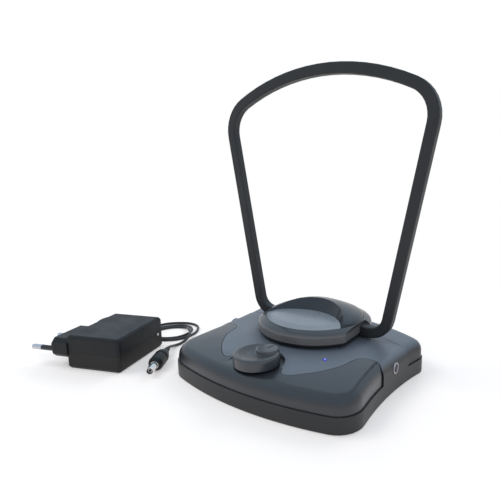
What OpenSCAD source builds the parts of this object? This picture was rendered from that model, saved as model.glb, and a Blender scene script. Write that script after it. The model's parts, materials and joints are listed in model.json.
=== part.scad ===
// Indoor loop antenna: a folding loop on a turntable, on a mains-fed amplifier base.
// Its power adapter lies beside it, with the lead gathered behind.
// Millimetres, +Z up, front towards -Y, origin on the floor under the middle of the base.

/* [Base] */
// Front edge of the base, measured forwards from the origin
base_front = 70.5; // [60:0.5:80]
// Rear edge of the base, measured backwards from the origin
base_rear = 70.5; // [62:0.5:80]
// Half width at the narrow waist
waist_half = 73.4; // [66:0.2:80]
// Place of the waist along Y
waist_y = -12; // [-20:1:0]
// Radius of the hollow sides
side_radius = 250; // [200:5:320]
// Radius of the bowed front
front_radius = 242; // [200:2:300]
// Radius of the bowed rear
rear_radius = 160; // [120:1:240]
// Radius of the front corners
front_corner = 18; // [12:1:24]
// Radius of the rear corners
rear_corner = 12; // [8:1:16]
// Top of the lower rim
rim_top = 11; // [9:0.5:13]
// How far the rim stands proud of the covers
rim_proud = 0.9; // [0.4:0.1:1.4]
// Wall of the rim and covers
wall = 2.4; // [1.8:0.1:3]
// Height of the crown under the turntable
crown_top = 25.4; // [24:0.2:28]
// Fall of the crown towards the front edge
crown_fall = 4.6; // [3:0.2:6]
// Rounding of the covers' upper edge
edge_round = 7; // [4:0.5:8]
// Open seam between the covers and the housing
seam = 0.4; // [0.2:0.1:0.8]
// Thickness of the base plate
plate_t = 2; // [1.5:0.1:3]
// Height of the base plate's underside
plate_z = 1.2; // [0.8:0.1:2]
// Diameter of the rubber feet
foot_d = 12; // [8:1:16]

/* [Turntable] */
// Turntable axis behind the origin
disc_y = 20; // [14:1:24]
// Outer radius of the turntable
disc_r = 44.2; // [41:0.2:48]
// Height of the turntable's lower edge
disc_bottom = 26.8; // [26.6:0.1:28]
// Height of the turntable's straight side
side_h = 7.7; // [7:0.1:9]
// Radius of the groove round the cap
cap_r = 38.2; // [36:0.1:38.3]
// Highest point of the raised crescent
crescent_top = 48; // [46:0.5:50]
// Radius of the scoop that cuts the crescent
scoop_r = 37; // [34:0.5:38]
// Radius of the swivel tube
swivel_r = 14.95; // [12:0.05:16]
// Running clearance of the swivel tube and pivot pins
running_gap = 0.05; // [0.03:0.01:0.08]

/* [Loop] */
// Outer width of the loop
loop_w = 181; // [160:1:200]
// Height of the loop's top above the floor
loop_top = 224.2; // [200:0.2:250]
// Width of the loop's bar, seen from the front
bar_w = 8; // [7:0.1:8.2]
// Depth of the loop's bar
bar_t = 7.2; // [6:0.1:7.4]
// Outer radius of the upper corners
corner_r = 28; // [20:1:36]
// Outer radius of the bowed top
crown_r = 169; // [150:1:200]
// Straight length of each foot between its pivot flat and its bend
foot_len = 7; // [6.5:0.05:9]
// Outer radius of the bends above the feet
bend_r = 18; // [14:0.5:20]
// Plane of the loop along Y
loop_y = 25; // [22:0.5:27]
// Height of the fold axis
pivot_z = 30.4; // [30.2:0.1:30.8]
// Half distance between the pivot flats
flat_x = 38.5; // [38.4:0.1:40]
// Diameter of the pivot pins
pin_d = 3.5; // [2.5:0.1:4]

/* [Knob] */
// Diameter of the gain knob
knob_d = 31; // [26:0.2:33]
// Height of the gain knob
knob_h = 7.6; // [6:0.2:9]
// Distance of the knob's axis in front of the origin
knob_front = 50.5; // [47:0.5:51.5]
// Radius of the pocket round the knob
pocket_r = 18.8; // [17:0.2:20]
// Diameter of the control's shaft
shaft_d = 6; // [5:0.1:6.4]

/* [Sockets] */
// Place of both sockets along Y
socket_y = 6; // [0:0.5:10]
// Height of both sockets' axes
socket_z = 16.4; // [15.5:0.1:17]
// Outer diameter of the power inlet's ring
inlet_ring_d = 7.7; // [7:0.1:8.4]
// Bore of the power inlet
inlet_bore_d = 5.8; // [5.7:0.05:6.4]
// Outer diameter of the coaxial output's sleeve
coax_d = 9.5; // [9.3:0.05:9.6]
// Diameter of the round recess at the coaxial output
coax_recess_d = 12; // [11.6:0.1:12.4]

/* [Adapter] */
// Width of the adapter's case
adapter_w = 46.3; // [40:0.1:54]
// Length of the adapter's case
adapter_l = 57; // [50:0.5:66]
// Height of the adapter's case
adapter_h = 25.8; // [25:0.1:26]
// Diameter of the mains pins
mains_d = 4; // [3.8:0.1:4.8]
// Distance between the mains pins
mains_pitch = 24.6; // [19:0.1:25]
// Free length of the mains pins
mains_len = 19; // [17:0.5:21]
// Diameter of the lead
cord_d = 2.4; // [2:0.1:2.5]
// Diameter of the plug's grip
grip_d = 11; // [10.2:0.2:13]
// Outer diameter of the plug's barrel
barrel_d = 5.5; // [5:0.1:5.6]
// Length of the plug's barrel
barrel_len = 9.5; // [9:0.1:12]

/* [Hidden] */
$fn = 96;
e = 0.01;

// Plane geometry of the base
function dir(a) = [cos(a), sin(a)];
function heading(p, q) = atan2(q[1] - p[1], q[0] - p[0]);
// Where two circles meet, on the right of the line from p to q for side 1, on its left for side -1
function meet(p, rp, q, rq, side) =
    let(d = norm(q - p), a = (d * d + rp * rp - rq * rq) / (2 * d), h = sqrt(rp * rp - a * a), u = (q - p) / d)
    p + a * u + side * h * [u[1], -u[0]];
function arc(c, r, a0, a1, n) = [for (i = [0:n]) c + r * dir(a0 + (a1 - a0) * i / n)];
front_c = [0, front_radius - base_front];
rear_c = [0, base_rear - rear_radius];
side_c = [waist_half + side_radius, waist_y];
corner_f = meet(front_c, front_radius - front_corner, side_c, side_radius + front_corner, 1);
corner_b = meet(rear_c, rear_radius - rear_corner, side_c, side_radius + rear_corner, -1);
a_front = heading(front_c, corner_f);
a_side_f = heading(corner_f, side_c);
a_side_b = heading(corner_b, side_c);
a_rear = heading(rear_c, corner_b);
// Right half of the outline, drawn in by d, from the middle of the front to the middle of the rear
function half_outline(d) = concat(
    arc(front_c, front_radius - d, -90, a_front, 8),
    [for (i = [1:7]) corner_f + (front_corner - d) * dir(a_front + (a_side_f - a_front) * i / 7)],
    [for (i = [1:9]) side_c - (side_radius + d) * dir(a_side_f + (a_side_b - a_side_f) * i / 9)],
    [for (i = [1:6]) corner_b + (rear_corner - d) * dir(a_side_b + (a_rear - a_side_b) * i / 6)],
    [for (i = [1:9]) rear_c + (rear_radius - d) * dir(a_rear + (90 - a_rear) * i / 9)]
);
function flip(p) = [for (i = [len(p) - 2:-1:1]) [-p[i][0], p[i][1]]];
function outline(d) = let(h = half_outline(d)) concat(h, flip(h));

// Half width of the rim at y, between the corners
function side_x(y) = waist_half + pow(y - waist_y, 2) / (2 * side_radius);

// Height of the covers over a point of the plan
function crown(p) = crown_top - 1.2 * pow(p[0] / waist_half, 2)
    - (p[1] < waist_y ? crown_fall * pow((waist_y - p[1]) / (base_front + waist_y), 2)
        : pow((p[1] - waist_y) / (base_rear - waist_y), 2));

// Solid crowned block over the outline drawn in by d, standing on z0
module crowned_block(d, z0) {
    round_steps = 4;
    inner = [0.78, 0.54, 0.28];
    o = outline(d);
    n = len(o);
    r_in = outline(d + edge_round);
    rings = concat(
        [[for (p = o) [p[0], p[1], z0]]],
        [for (k = [0:round_steps]) let(a = 90 * k / round_steps, q = outline(d + edge_round * (1 - cos(a))))
            [for (p = q) [p[0], p[1], crown(p) - edge_round * (1 - sin(a))]]],
        [for (s = inner) [for (p = r_in) [p[0] * s, p[1] * s, crown(p * s)]]]
    );
    m = len(rings);
    pts = concat([for (r = rings) each r], [[0, 0, crown([0, 0])]]);
    polyhedron(points = pts, faces = concat(
        [[for (i = [n - 1:-1:0]) n - 1 - i]],
        [for (k = [0:m - 2], i = [0:n - 1]) each
            let(a = k * n + i, b = k * n + (i + 1) % n, c = b + n, f = a + n) [[a, c, b], [a, f, c]]],
        [for (i = [0:n - 1]) [(m - 1) * n + i, m * n, (m - 1) * n + (i + 1) % n]]
    ));
}
module prism(d, z0, z1) {
    translate([0, 0, z0]) linear_extrude(z1 - z0) polygon(outline(d));
}

// Smooth curve through points, n steps a span
function curve_at(p, i, t) =
    let(last = len(p) - 1, a = p[max(i - 1, 0)], b = p[i], c = p[min(i + 1, last)], d = p[min(i + 2, last)])
    0.5 * (2 * b + (c - a) * t + (2 * a - 5 * b + 4 * c - d) * t * t + (3 * b - a - 3 * c + d) * t * t * t);
function curve(p, n) = concat([for (i = [0:len(p) - 2], k = [0:n - 1]) curve_at(p, i, k / n)], [p[len(p) - 1]]);
function shifted(p, d) = [for (i = [0:len(p) - 1])
    let(t = p[min(i + 1, len(p) - 1)] - p[max(i - 1, 0)]) p[i] + d * [t[1], -t[0]] / norm(t)];

// Front edge of the glossy band: round the knob pocket, out to a tongue, then back to the side seam
knob_c = [0, -knob_front];
tongue = [[20, -48.6], [21.2, -51.6], [23.2, -53.3], [25.7, -53.6]];
sweep_back = [[29.6, -51.8], [33.5, -48.5], [38.2, -44], [42.3, -39.3], [46.6, -33], [49.7, -27.2], [51.3, -22],
    [52.2, -17], [54, -11.8], [57, -8.7], [60.8, -7.2], [65.5, -7.6], [70, -9.6]];
side_seam_f = waist_y - 0.4;
side_seam_b = 24.5;
band_front_half = concat(
    [for (i = [0:9]) knob_c + pocket_r * dir(90 - 9 * i)],
    curve(concat(tongue, sweep_back, [[73, side_seam_f], [90, side_seam_f]]), 2)
);
band_front = concat([for (i = [len(band_front_half) - 1:-1:1]) [-band_front_half[i][0], band_front_half[i][1]]],
    band_front_half);
band_rear_half = curve([[0, 41], [30, 39], [44, 35], [56, 31], [66, 27.4], [73, side_seam_b], [90, side_seam_b]], 3);
band_rear = concat([for (i = [len(band_rear_half) - 1:-1:1]) [-band_rear_half[i][0], band_rear_half[i][1]]],
    band_rear_half);
beyond = 100;
module front_region() {
    polygon(concat(shifted(band_front, seam), [[beyond, -beyond], [-beyond, -beyond]]));
}
module band_region() {
    polygon(concat(band_front, [for (i = [len(band_rear) - 1:-1:0]) band_rear[i]]));
}
module rear_region() {
    polygon(concat([for (p = shifted(band_rear, -seam)) p], [[beyond, beyond], [-beyond, beyond]]));
}

// Levels shared by the pieces
cover_in = rim_proud + wall;
ceiling_low = crown_top - crown_fall - 3.8;
ceiling_mid = crown_top - 4.9;
ceiling_high = crown_top - 5.8;
seat_top = disc_bottom - 0.6;
seat_r = 32;
washer_t = 0.3;
hub_bottom = seat_top + washer_t;
flange_t = 3;
flange_r = 27;
post_top = plate_z + plate_t;
board_t = 1.6;
board_top = socket_z - 6.5;
boss_x = waist_half - 13;
boss_y = [-base_front + 23, base_rear - 29];
board_side = waist_half - 19.4;
post_x = board_side - 10;
post_y = [-base_front + 34.5, base_rear - 34.5];
post_spots = [for (sx = [1, -1], y = post_y) [sx * post_x, y]];
screw_r = 1.5;
boss_r = 3.6;

module at_bosses() {
    for (sx = [-1, 1], y = boss_y) translate([sx * boss_x, y, 0]) children();
}

module main_housing() color([0.05, 0.05, 0.06]) {
    wall_x = side_x(socket_y);
    difference() {
        union() {
            difference() {
                prism(0, 0.5, rim_top);
                prism(wall, 0, rim_top + 1);
            }
            difference() {
                intersection() {
                    crowned_block(0, rim_top - 1);
                    translate([0, 0, rim_top - 2]) linear_extrude(40) band_region();
                }
                prism(cover_in, 0, ceiling_low);
                // The roof rises behind the knob's pocket
                intersection() {
                    union() {
                        prism(cover_in, 0, ceiling_mid);
                        prism(cover_in + 8, 0, crown_top - 2.8);
                    }
                    translate([-beyond, -knob_front + pocket_r - 9, 0]) cube([2 * beyond, 2 * beyond, crown_top]);
                }
            }
            // Seat and bearing collar of the turntable
            translate([0, disc_y, crown_top - 4.4]) cylinder(r = seat_r - 10, h = seat_top - crown_top + 4.4);
            translate([0, disc_y, crown_top - 2.4]) cylinder(r = seat_r, h = seat_top - crown_top + 2.4);
            // Cup of the coaxial output's recess, left
            translate([-wall_x + 1, socket_y, socket_z]) rotate([0, 90, 0])
                cylinder(d = coax_recess_d + 2, h = recess_depth - 1, $fn = 64);
            // Bosses for the base plate's screws, each tied to the rim by a web
            at_bosses() translate([0, 0, post_top]) cylinder(r = boss_r, h = rim_top - post_top - 1, $fn = 32);
            for (sx = [-1, 1], y = boss_y) translate([sx * (boss_x + side_x(y) - wall / 2) / 2, y, (post_top + rim_top - 1) / 2])
                cube([side_x(y) - wall / 2 - boss_x, 2, rim_top - 1 - post_top], center = true);
        }
        at_bosses() translate([0, 0, post_top - e]) cylinder(r = screw_r, h = 5, $fn = 32);
        translate([0, disc_y, 0]) cylinder(r = swivel_r + running_gap, h = 60);
        // Window of the light pipe
        translate([led_xy[0], led_xy[1], 0]) cylinder(r = pipe_r + 0.05, h = 60, $fn = 32);
        // Hole of the power inlet, right
        translate([wall_x - 20, socket_y, socket_z]) rotate([0, 90, 0]) cylinder(r = inlet_ring_d / 2 + 0.05, h = 40);
        translate([-wall_x - 5, socket_y, socket_z]) rotate([0, 90, 0])
            cylinder(d = coax_recess_d, h = 10 + recess_depth, $fn = 64);
    }
}
led_xy = [37, -24.9];
recess_depth = 10.4;
pipe_r = 1.5;

module front_cover() color([0.10, 0.10, 0.11]) difference() {
    intersection() {
        crowned_block(rim_proud, rim_top);
        translate([0, 0, rim_top - 1]) linear_extrude(40) front_region();
    }
    prism(cover_in, 0, ceiling_low);
    prism(cover_in + 7, 0, ceiling_high);
    // Flat floor of the knob's pocket
    translate([knob_c[0], knob_c[1], pocket_floor]) cylinder(r = pocket_r + 1, h = 20);
    translate([knob_c[0], knob_c[1], 0]) cylinder(r = bush_r + 0.1, h = 60, $fn = 48);
}
pocket_floor = crown_top - 3;
bush_r = 3.9;

module rear_cover() color([0.06, 0.06, 0.065]) difference() {
    intersection() {
        crowned_block(rim_proud, rim_top);
        translate([0, 0, rim_top - 1]) linear_extrude(40) rear_region();
    }
    prism(cover_in, 0, ceiling_low + 1);
    prism(cover_in + 6, 0, crown_top - 4);
    translate([0, disc_y, crown_top - 5]) cylinder(r = seat_r + seam, h = 20);
}

module base_plate() color([0.12, 0.12, 0.13]) difference() {
    union() {
        prism(wall + 0.2, plate_z, post_top);
        for (p = post_spots) translate([p[0], p[1], post_top - e])
            cylinder(r = boss_r, h = board_top - board_t - post_top + e, $fn = 32);
    }
    at_bosses() {
        translate([0, 0, plate_z - 1]) cylinder(r = screw_r + 0.15, h = 20, $fn = 32);
        translate([0, 0, plate_z - 1]) cylinder(r = head_r + 0.1, h = 1 + head_t, $fn = 32);
    }
    for (p = post_spots) translate([p[0], p[1], post_top + 0.5]) cylinder(r = 1, h = 20, $fn = 32);
    at_feet() translate([0, 0, plate_z - 1]) cylinder(d = foot_d + 0.2, h = 1.6, $fn = 48);
}
head_r = 2.6;
head_t = 1;

module at_feet() {
    for (sx = [-1, 1], y = [-base_front + 18, base_rear - 24])
        translate([sx * (waist_half - 22 + (y > 0 ? -4 : 0)), y, 0]) children();
}
module rubber_feet() color([0.15, 0.15, 0.16]) at_feet() {
    translate([0, 0, 0.4]) cylinder(d = foot_d, h = plate_z + 0.2, $fn = 48);
    cylinder(d1 = foot_d - 1, d2 = foot_d, h = 0.4 + e, $fn = 48);
}

module base_screws() color([0.6, 0.6, 0.62]) at_bosses() {
    translate([0, 0, plate_z + 0.05]) cylinder(r = head_r, h = head_t - 0.05, $fn = 32);
    translate([0, 0, plate_z + head_t - e]) cylinder(r = screw_r - 0.02, h = 5, $fn = 32);
}

// Electronics
board_front = -base_front + 13.5;
board_rear = base_rear - 30.5;
ear_right = waist_half - 6.5;
ear_left = waist_half - 11.5;
module circuit_board() color([0.05, 0.35, 0.18]) difference() {
    translate([0, 0, board_top - board_t]) linear_extrude(board_t) polygon([
        [-board_side, board_front + 3], [-30, board_front], [30, board_front], [board_side, board_front + 3],
        [board_side, socket_y - 10], [ear_right, socket_y - 10], [ear_right, socket_y + 10], [board_side, socket_y + 10],
        [board_side, board_rear], [-board_side, board_rear], [-board_side, socket_y + 10], [-ear_left, socket_y + 10],
        [-ear_left, socket_y - 10], [-board_side, socket_y - 10]
    ]);
    for (p = post_spots) translate([p[0], p[1], 0]) cylinder(r = 1.2, h = 30, $fn = 32);
    // Way of the antenna's pair of wires up into the swivel
    translate([0, disc_y, 0]) cylinder(r = 5, h = 30, $fn = 48);
}
module board_screws() color([0.7, 0.7, 0.72]) for (p = post_spots) translate([p[0], p[1], 0]) {
    translate([0, 0, board_top]) cylinder(r = 2.2, h = 1.2, $fn = 32);
    translate([0, 0, board_top - 5]) cylinder(r = 0.98, h = 5 + e, $fn = 32);
}
module shield_can() color([0.72, 0.73, 0.75]) translate([28 - board_side, 40.5 - base_front, board_top]) difference() {
    translate([-14, -10, 0]) cube([28, 20, 6.5]);
    translate([-13.6, -9.6, -1]) cube([27.2, 19.2, 7]);
}
control_top = pocket_floor - 2.9;
module gain_control() color([0.35, 0.36, 0.38]) translate([knob_c[0], knob_c[1], 0]) difference() {
    union() {
        translate([-8, -7, board_top]) cube([16, 14, 2.5]);
        translate([0, 0, board_top]) cylinder(r = 7.8, h = control_top - board_top);
        cylinder_between(bush_r, control_top - 1, pocket_floor + 2.8);
    }
    cylinder_between(shaft_d / 2 + running_gap, board_top + 2, pocket_floor + 10);
}
module cylinder_between(r, z0, z1) {
    translate([0, 0, z0]) cylinder(r = r, h = z1 - z0);
}
module control_nut() color([0.75, 0.75, 0.77]) translate([knob_c[0], knob_c[1], pocket_floor]) difference() {
    cylinder(r = 6, h = 1.8, $fn = 6);
    translate([0, 0, -1]) cylinder(r = bush_r, h = 4);
}
module gain_shaft() color([0.7, 0.7, 0.72]) translate([knob_c[0], knob_c[1], 0])
    cylinder_between(shaft_d / 2, board_top + 2.3, knob_z + knob_h - 2.2);

knob_z = pocket_floor + 0.5;
knob_r = knob_d / 2;
knob_lip = knob_z + knob_h;
lobe_xy = [4.2, 6.3];
lobe_r = 7.8;
module gain_knob() color([0.05, 0.05, 0.055]) translate([knob_c[0], knob_c[1], 0]) difference() {
    union() {
        rotate_extrude() polygon(concat(
            [[0, knob_z], [knob_r - 0.5, knob_z], [knob_r, knob_z + 0.5]],
            [for (a = [0:18:90]) [knob_r - 1.6 + 1.6 * cos(a), knob_lip - 1.6 + 1.6 * sin(a)]],
            [[knob_r - 3.5, knob_lip - 0.15], [knob_r - 6, knob_lip - 0.5], [knob_r - 9, knob_lip - 0.8], [0, knob_lip - 0.9]]
        ));
        // Raised finger pad
        translate([lobe_xy[0], lobe_xy[1], 0]) rotate_extrude() polygon(concat(
            [[0, knob_lip - 3], [lobe_r, knob_lip - 3]],
            [for (a = [0:18:90]) [lobe_r - 1.2 + 1.2 * cos(a), knob_lip + 0.4 + 1.2 * sin(a)]],
            [[0, knob_lip + 1.7]]
        ));
    }
    // Bore for the shaft, and the hollow that clears the nut
    cylinder_between(shaft_d / 2 + 0.01, knob_z - 1, knob_lip - 2.2);
    cylinder_between(6.8, knob_z - 1, pocket_floor + 3);
    // Pointer line
    translate([lobe_xy[0], lobe_xy[1], knob_lip + 1]) rotate([0, 0, 79]) translate([0, -0.5, 0]) cube([5.6, 1, 3]);
}

// Sockets
inlet_face = side_x(socket_y) + 0.3;
inlet_depth = 9.5;
module power_inlet() color([0.78, 0.78, 0.8]) difference() {
    union() {
        translate([inlet_face - 14.5, socket_y - 4.5, board_top]) cube([14.5 - cover_in - 0.7, 9, 10.4]);
        translate([inlet_face - 6, socket_y, socket_z]) rotate([0, 90, 0]) cylinder(d = inlet_ring_d, h = 6);
    }
    translate([inlet_face - inlet_depth, socket_y, socket_z]) rotate([0, 90, 0]) cylinder(d = inlet_bore_d, h = 20);
    translate([inlet_face - inlet_depth - 3, socket_y, socket_z]) rotate([0, 90, 0]) cylinder(r = 1, h = 10, $fn = 48);
}
module inlet_pin() color([0.8, 0.8, 0.82]) translate([inlet_face - inlet_depth - 2.9, socket_y, socket_z])
    rotate([0, 90, 0]) {
        cylinder(r = 0.98, h = 2.9 + inlet_depth - 1.9, $fn = 48);
        translate([0, 0, 2.9 + inlet_depth - 1.9 - e]) cylinder(r1 = 0.98, r2 = 0.6, h = 0.5, $fn = 48);
    }

coax_face = inlet_face - 0.8;
coax_floor = inlet_face - 0.3 - recess_depth;
coax_back = coax_floor - 4;
module coax_sleeve() color([0.78, 0.78, 0.8]) translate([0, socket_y, socket_z]) difference() {
    union() {
        translate([-coax_face, 0, 0]) rotate([0, 90, 0]) cylinder(d = coax_d, h = coax_face - coax_back);
        // Shoulder that closes the recess, and the foot on the board
        translate([-coax_floor - 1.4, 0, 0]) rotate([0, 90, 0]) cylinder(d = coax_recess_d - 0.2, h = 1.4);
        translate([-coax_back - 2.4, -5, board_top - socket_z]) cube([2.4, 10, 11]);
    }
    translate([-coax_face - 1, 0, 0]) rotate([0, 90, 0]) cylinder(d = coax_d - 1.4, h = 40);
}
module coax_insulator() color([0.9, 0.9, 0.88]) translate([-coax_back - 5, socket_y, socket_z]) rotate([0, 90, 0])
    difference() {
        cylinder(d = coax_d - 1.4, h = 4);
        translate([0, 0, -1]) cylinder(r = 1.2, h = 6, $fn = 48);
    }
module coax_contact() color([0.85, 0.7, 0.35]) translate([-coax_face + 2, socket_y, socket_z]) rotate([0, 90, 0])
    difference() {
        cylinder(r = 1.2, h = coax_face - coax_back - 1, $fn = 48);
        translate([0, 0, -1]) cylinder(r = 0.7, h = 7, $fn = 48);
    }

module status_led() color([0.2, 0.4, 0.9]) translate([led_xy[0], led_xy[1], board_top]) {
    translate([-1.6, -1, 0]) cube([3.2, 2, 0.8]);
    translate([0, 0, 0.8 - e]) cylinder(r = 0.9, h = 0.6, $fn = 32);
}
module light_pipe() color([0.6, 0.75, 1]) translate([led_xy[0], led_xy[1], 0]) {
    cylinder_between(pipe_r, board_top + 1.7, crown(led_xy) - 0.2);
    translate([0, 0, crown(led_xy) - 0.2 - e]) cylinder(r1 = pipe_r, r2 = 0.9, h = 0.5, $fn = 32);
}

// Turntable
shoulder_top = disc_bottom + side_h + 2.7;
cap_seat = shoulder_top - 1.2;
ring_ceiling = cap_seat - 2.5;
ring_in = disc_r - 2.4;
notch_front = disc_y - 20.5;
bar_round = 1.2;
// Radius that the bar's corners sweep as the loop folds
bar_swing = norm([bar_w / 2 - bar_round, bar_t / 2 - bar_round]) + bar_round;
notch_back = loop_y + bar_swing + 0.4;
block_in = 10;
screw_ring_r = 20;

module swivel_washer() color([0.85, 0.85, 0.82]) translate([0, disc_y, seat_top]) difference() {
    cylinder(r = flange_r, h = washer_t);
    translate([0, 0, -1]) cylinder(r = swivel_r + 1, h = 2);
}
module swivel_hub() color([0.2, 0.2, 0.21]) translate([0, disc_y, 0]) difference() {
    union() {
        cylinder_between(flange_r, hub_bottom, hub_bottom + flange_t);
        cylinder_between(swivel_r, crown_top - 6.6, hub_bottom + e);
    }
    cylinder_between(swivel_r - 3.9, 0, 60);
    // Groove of the retaining clip
    difference() {
        cylinder_between(swivel_r + 1, clip_z - 0.05, clip_z + clip_t + 0.05);
        cylinder_between(swivel_r - 1.4, 0, 60);
    }
    for (a = [45:90:315]) rotate([0, 0, a]) translate([screw_ring_r, 0, 0]) {
        cylinder_between(screw_r + 0.1, 0, 60);
        cylinder_between(head_r + 0.1, 0, hub_bottom + 1.2);
    }
}
clip_t = 1;
clip_z = crown_top - 4.4 - 0.3 - clip_t;
module swivel_clip() color([0.7, 0.7, 0.72]) translate([0, disc_y, clip_z]) difference() {
    cylinder(r = swivel_r + 3, h = clip_t);
    translate([0, 0, -1]) cylinder(r = swivel_r - 1.35, h = 4);
    translate([0, -swivel_r, -1]) rotate([0, 0, 45]) cube([12, 12, 10], center = true);
}

ring_side = [
    [disc_r - 1, disc_bottom], [disc_r, disc_bottom + 0.8], [disc_r, disc_bottom + side_h - 1.2],
    [disc_r - 0.3, disc_bottom + side_h - 0.3], [disc_r - 1, disc_bottom + side_h + 0.5],
    [disc_r - 2.6, disc_bottom + side_h + 1.4], [cap_r, shoulder_top]
];
module notch_boxes(grow) {
    for (s = [-1, 1]) translate([s * (flat_x - grow + 10), (notch_front + notch_back) / 2 - disc_y, disc_bottom + 8])
        cube([20, notch_back - notch_front + 2 * grow, 30], center = true);
}
module turntable_ring() color([0.05, 0.05, 0.06]) translate([0, disc_y, 0]) difference() {
    union() {
        rotate_extrude() polygon(concat(ring_side, [[cap_r, cap_seat], [6, cap_seat], [6, ring_ceiling],
            [ring_in, ring_ceiling], [ring_in, disc_bottom]]));
        // Walls behind the notches, and the blocks that carry the pivot pins
        intersection() {
            rotate_extrude() polygon(concat([[0, disc_bottom]], ring_side, [[cap_r, ring_ceiling], [0, ring_ceiling]]));
            union() {
                notch_boxes(2);
                for (s = [-1, 1]) translate([s * (flat_x - block_in / 2), loop_y - disc_y, 30])
                    cube([block_in + e, 12, 20], center = true);
            }
        }
        for (a = [45:90:315]) rotate([0, 0, a]) translate([screw_ring_r, 0, 0])
            cylinder_between(boss_r, hub_bottom + flange_t, ring_ceiling + e);
    }
    notch_boxes(0);
    // Clears the flange and its screws
    cylinder_between(flange_r + 0.5, 0, hub_bottom + flange_t);
    translate([-60, loop_y - disc_y, pivot_z]) rotate([0, 90, 0]) cylinder(r = pin_d / 2 + running_gap, h = 120, $fn = 48);
    for (a = [45:90:315]) rotate([0, 0, a]) translate([screw_ring_r, 0, 0])
        cylinder_between(screw_r, 0, ring_ceiling + 1);
}
module turntable_screws() color([0.6, 0.6, 0.62]) translate([0, disc_y, 0])
    for (a = [45:90:315]) rotate([0, 0, a]) translate([screw_ring_r, 0, 0]) {
        cylinder_between(head_r, hub_bottom + 0.1, hub_bottom + 1.2);
        cylinder_between(screw_r - 0.02, hub_bottom + 1.2 - e, ring_ceiling + 0.8);
    }

plate_floor = shoulder_top;
scoop_y = disc_y - 34;
module turntable_cap() color([0.05, 0.05, 0.06]) difference() {
    translate([0, disc_y, 0]) rotate_extrude() polygon(concat(
        [[0, cap_seat], [cap_r - 0.25, cap_seat], [cap_r - 0.25, shoulder_top]],
        [[cap_r - 0.8, shoulder_top + 1], [cap_r - 2, shoulder_top + 2], [cap_r - 5, shoulder_top + 3.4]],
        [[cap_r - 18, crescent_top - 2.4], [12, crescent_top - 0.6], [8, crescent_top - 0.1], [0, crescent_top]]
    ));
    translate([0, scoop_y, plate_floor]) cylinder(r1 = scoop_r, r2 = scoop_r + 7, h = crescent_top - plate_floor + 1);
    // Key hole under the middle of the plate
    translate([0, disc_y, 0]) cylinder(r = 3, h = plate_floor + e, $fn = 48);
}
module lens_plate() color([0.05, 0.05, 0.07]) {
    intersection() {
        translate([0, disc_y, 0]) rotate_extrude() polygon([
            [0, plate_floor], [cap_r - 0.4, plate_floor], [cap_r - 0.6, plate_floor + 0.2],
            [cap_r - 6.4, plate_floor + 1.1], [cap_r - 7.4, plate_floor + 1.25], [0, plate_floor + 1.4]
        ]);
        translate([0, scoop_y, 0]) cylinder(r = scoop_r - 0.15, h = 60);
    }
    translate([0, disc_y, plate_floor - 1.1]) cylinder(r = 2.9, h = 1.1 + e, $fn = 48);
}
pin_inner = flat_x - block_in - 0.9;
module contact_springs() color([0.85, 0.65, 0.35]) for (s = [-1, 1]) translate([s * (pin_inner - 0.5), loop_y, 0]) {
    translate([-0.2, -2.5, pivot_z - 1.9]) cube([0.4, 5, ring_ceiling - pivot_z + 1.9]);
    translate([s > 0 ? -7 : -0.2, -2.5, ring_ceiling - 0.4]) cube([7.2, 5, 0.4]);
}

// Loop
mid_r = corner_r - bar_w / 2;
crown_mid = crown_r - bar_w / 2;
crown_z = loop_top - crown_r;
corner_x = loop_w / 2 - corner_r;
corner_z = crown_z + sqrt(pow(crown_mid - mid_r, 2) - pow(corner_x, 2));
crown_a = atan2(corner_z - crown_z, corner_x);
bend_mid = bend_r - bar_w / 2;
bend_z = pivot_z + bend_mid;
foot_x = flat_x + 0.4;
bend_x = foot_x + foot_len;
// Lean of the legs from upright, so that each is tangent to its corner and its bend
lean = atan2(corner_x - bend_x, corner_z - bend_z) + asin((mid_r - bend_mid) / norm([corner_x - bend_x, corner_z - bend_z]));
pin_in_foot = foot_len - 1.85;

// Right half of the loop's middle line from its top to the foot: [x, z, outward normal, section]
function arc_way(cx, cz, r, a0, a1, n) = [for (i = [0:n])
    let(a = a0 + (a1 - a0) * i / n) [cx + r * cos(a), cz + r * sin(a), cos(a), sin(a), 0]];
pin_root = foot_x + pin_in_foot;
loop_arcs = concat(
    arc_way(0, crown_z, crown_mid, 90, crown_a, 8),
    arc_way(corner_x, corner_z, mid_r, crown_a - 9, -lean, 7),
    arc_way(bend_x, bend_z, bend_mid, -lean, -90, 6)
);
// Sweeps sections round the loop; X of a section points outwards and its Y towards +Y
module round_the_loop(feet, sections, caps = [[0, 1, 2, 3]]) {
    h = concat(loop_arcs, feet);
    way = concat([for (i = [len(h) - 1:-1:1]) [-h[i][0], h[i][1], -h[i][2], h[i][3], h[i][4]]], h);
    skin([for (w = way) [for (q = sections[w[4]]) [w[0] + q[0] * w[2], loop_y + q[1], w[1] + q[0] * w[3]]]], caps);
}
// Closed skin over rings of points, its flat ends cut into the convex faces named by point numbers in caps
module skin(rings, caps) {
    n = len(rings);
    s = len(rings[0]);
    polyhedron(points = [for (r = rings) each r], faces = concat(
        [for (c = caps) [for (j = [len(c) - 1:-1:0]) c[j]]],
        [for (c = caps) [for (k = c) (n - 1) * s + k]],
        [for (i = [0:n - 2], k = [0:s - 1]) each
            let(a = i * s + k, b = i * s + (k + 1) % s) [[a, b + s, a + s], [a, b, b + s]]]
    ));
}
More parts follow.
